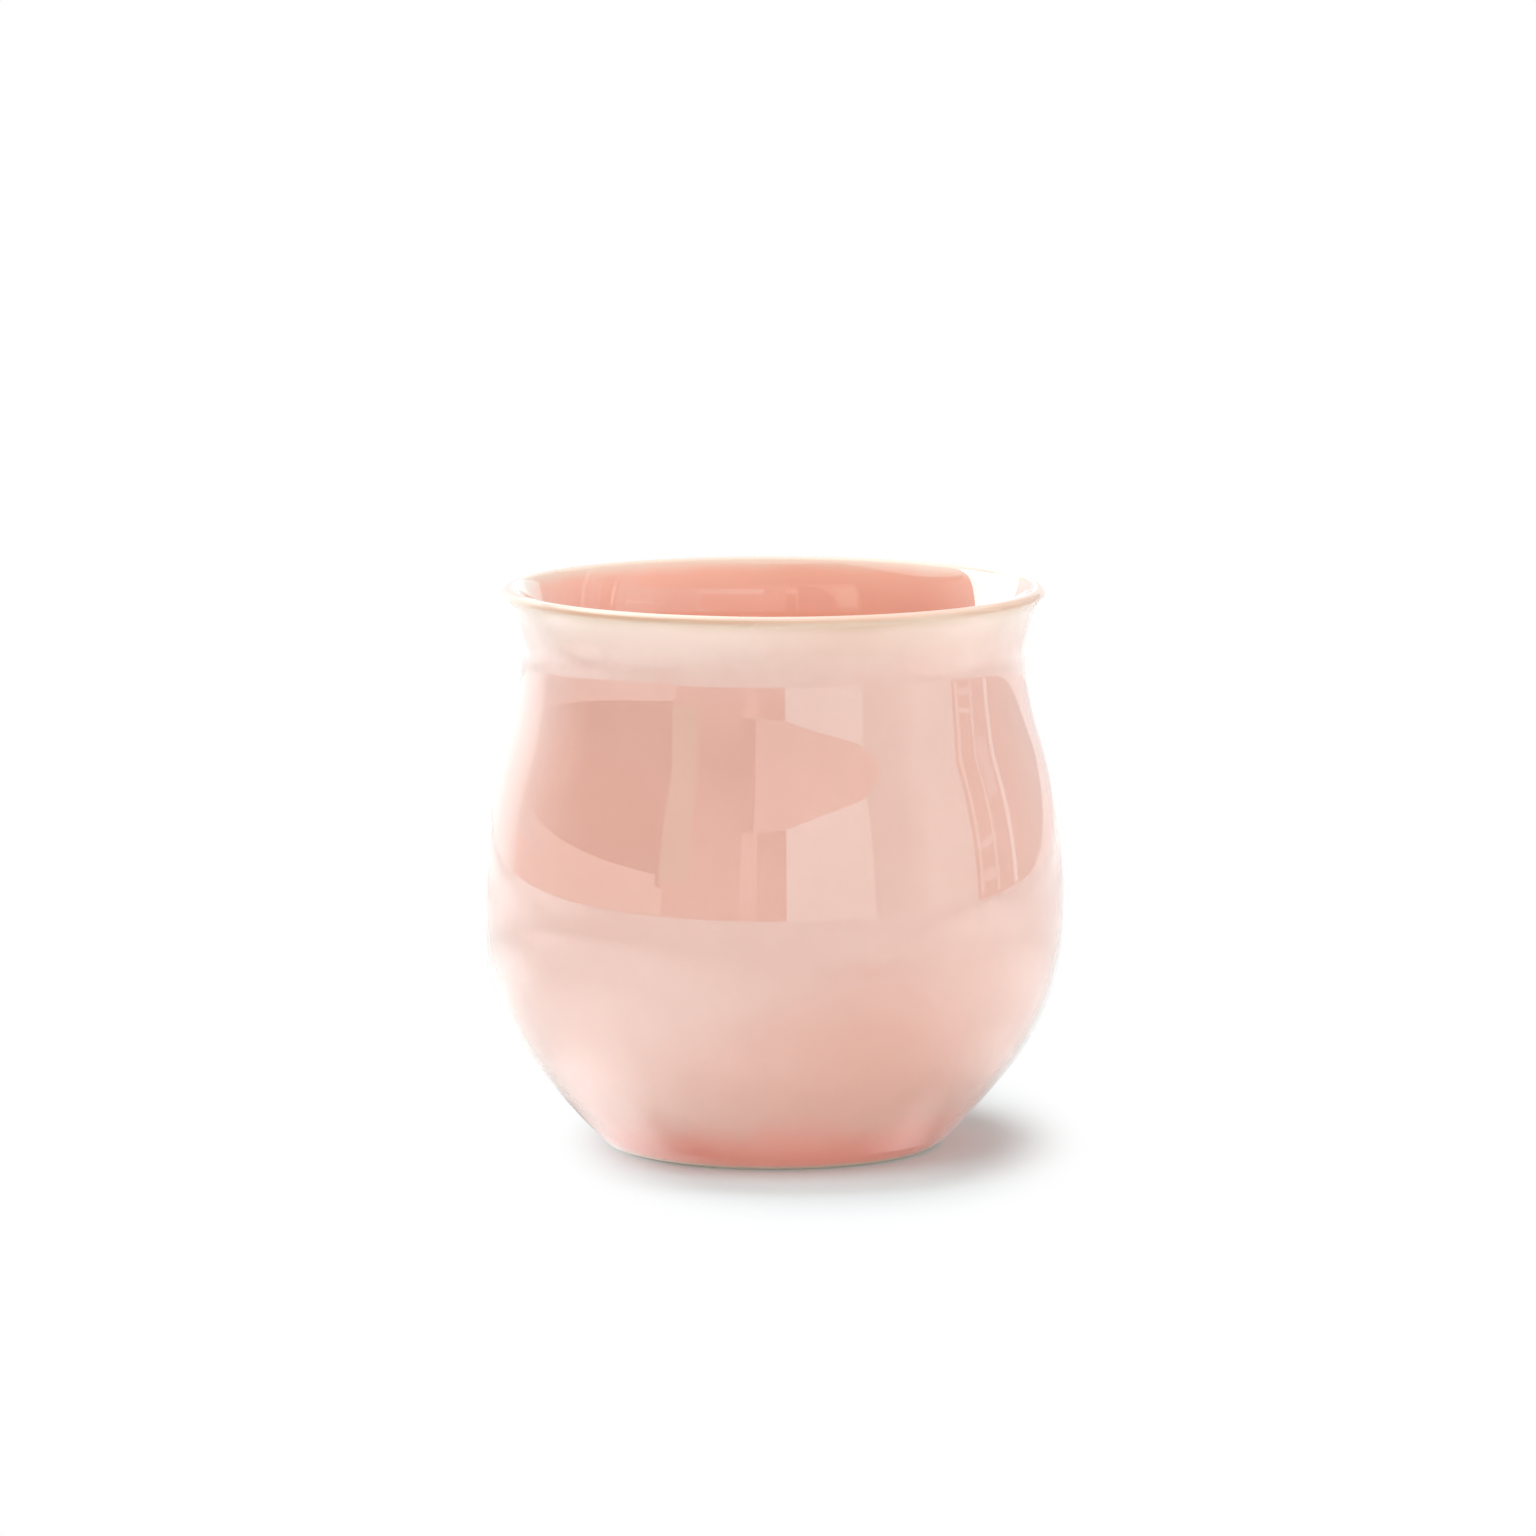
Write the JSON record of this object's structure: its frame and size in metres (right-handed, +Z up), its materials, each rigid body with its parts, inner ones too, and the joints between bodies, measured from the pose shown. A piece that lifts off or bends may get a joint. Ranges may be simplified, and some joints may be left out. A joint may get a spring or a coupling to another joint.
{
  "type": "handleless coffee cup",
  "caption": "Round-bellied handleless coffee cup with a drawn-in neck, a flared rounded lip and a narrow foot, glazed pale pink inside and out.",
  "frame": {"origin": "on the cup's axis, on the surface that its foot ring stands on", "axes": "+Z up along the cup's axis, from the foot to the lip; the cup is round, so +X and +Y are any two level directions at right angles"},
  "size_m": [0.08, 0.08, 0.0766],
  "materials": {
    "bare_clay": "matt fired porcelain, bare only on the foot ring",
    "outer_glaze": "glossy pale pink glaze, paler and warmer where it thins over the lip",
    "inner_glaze": "glossy pale pink glaze",
    "base_glaze": "glossy pale pink glaze"
  },
  "bodies": {
    "root": {"clay_body": "bare_clay", "outer_glaze": "outer_glaze", "inner_glaze": "inner_glaze", "base_glaze": "base_glaze"}
  },
  "joints": []
}
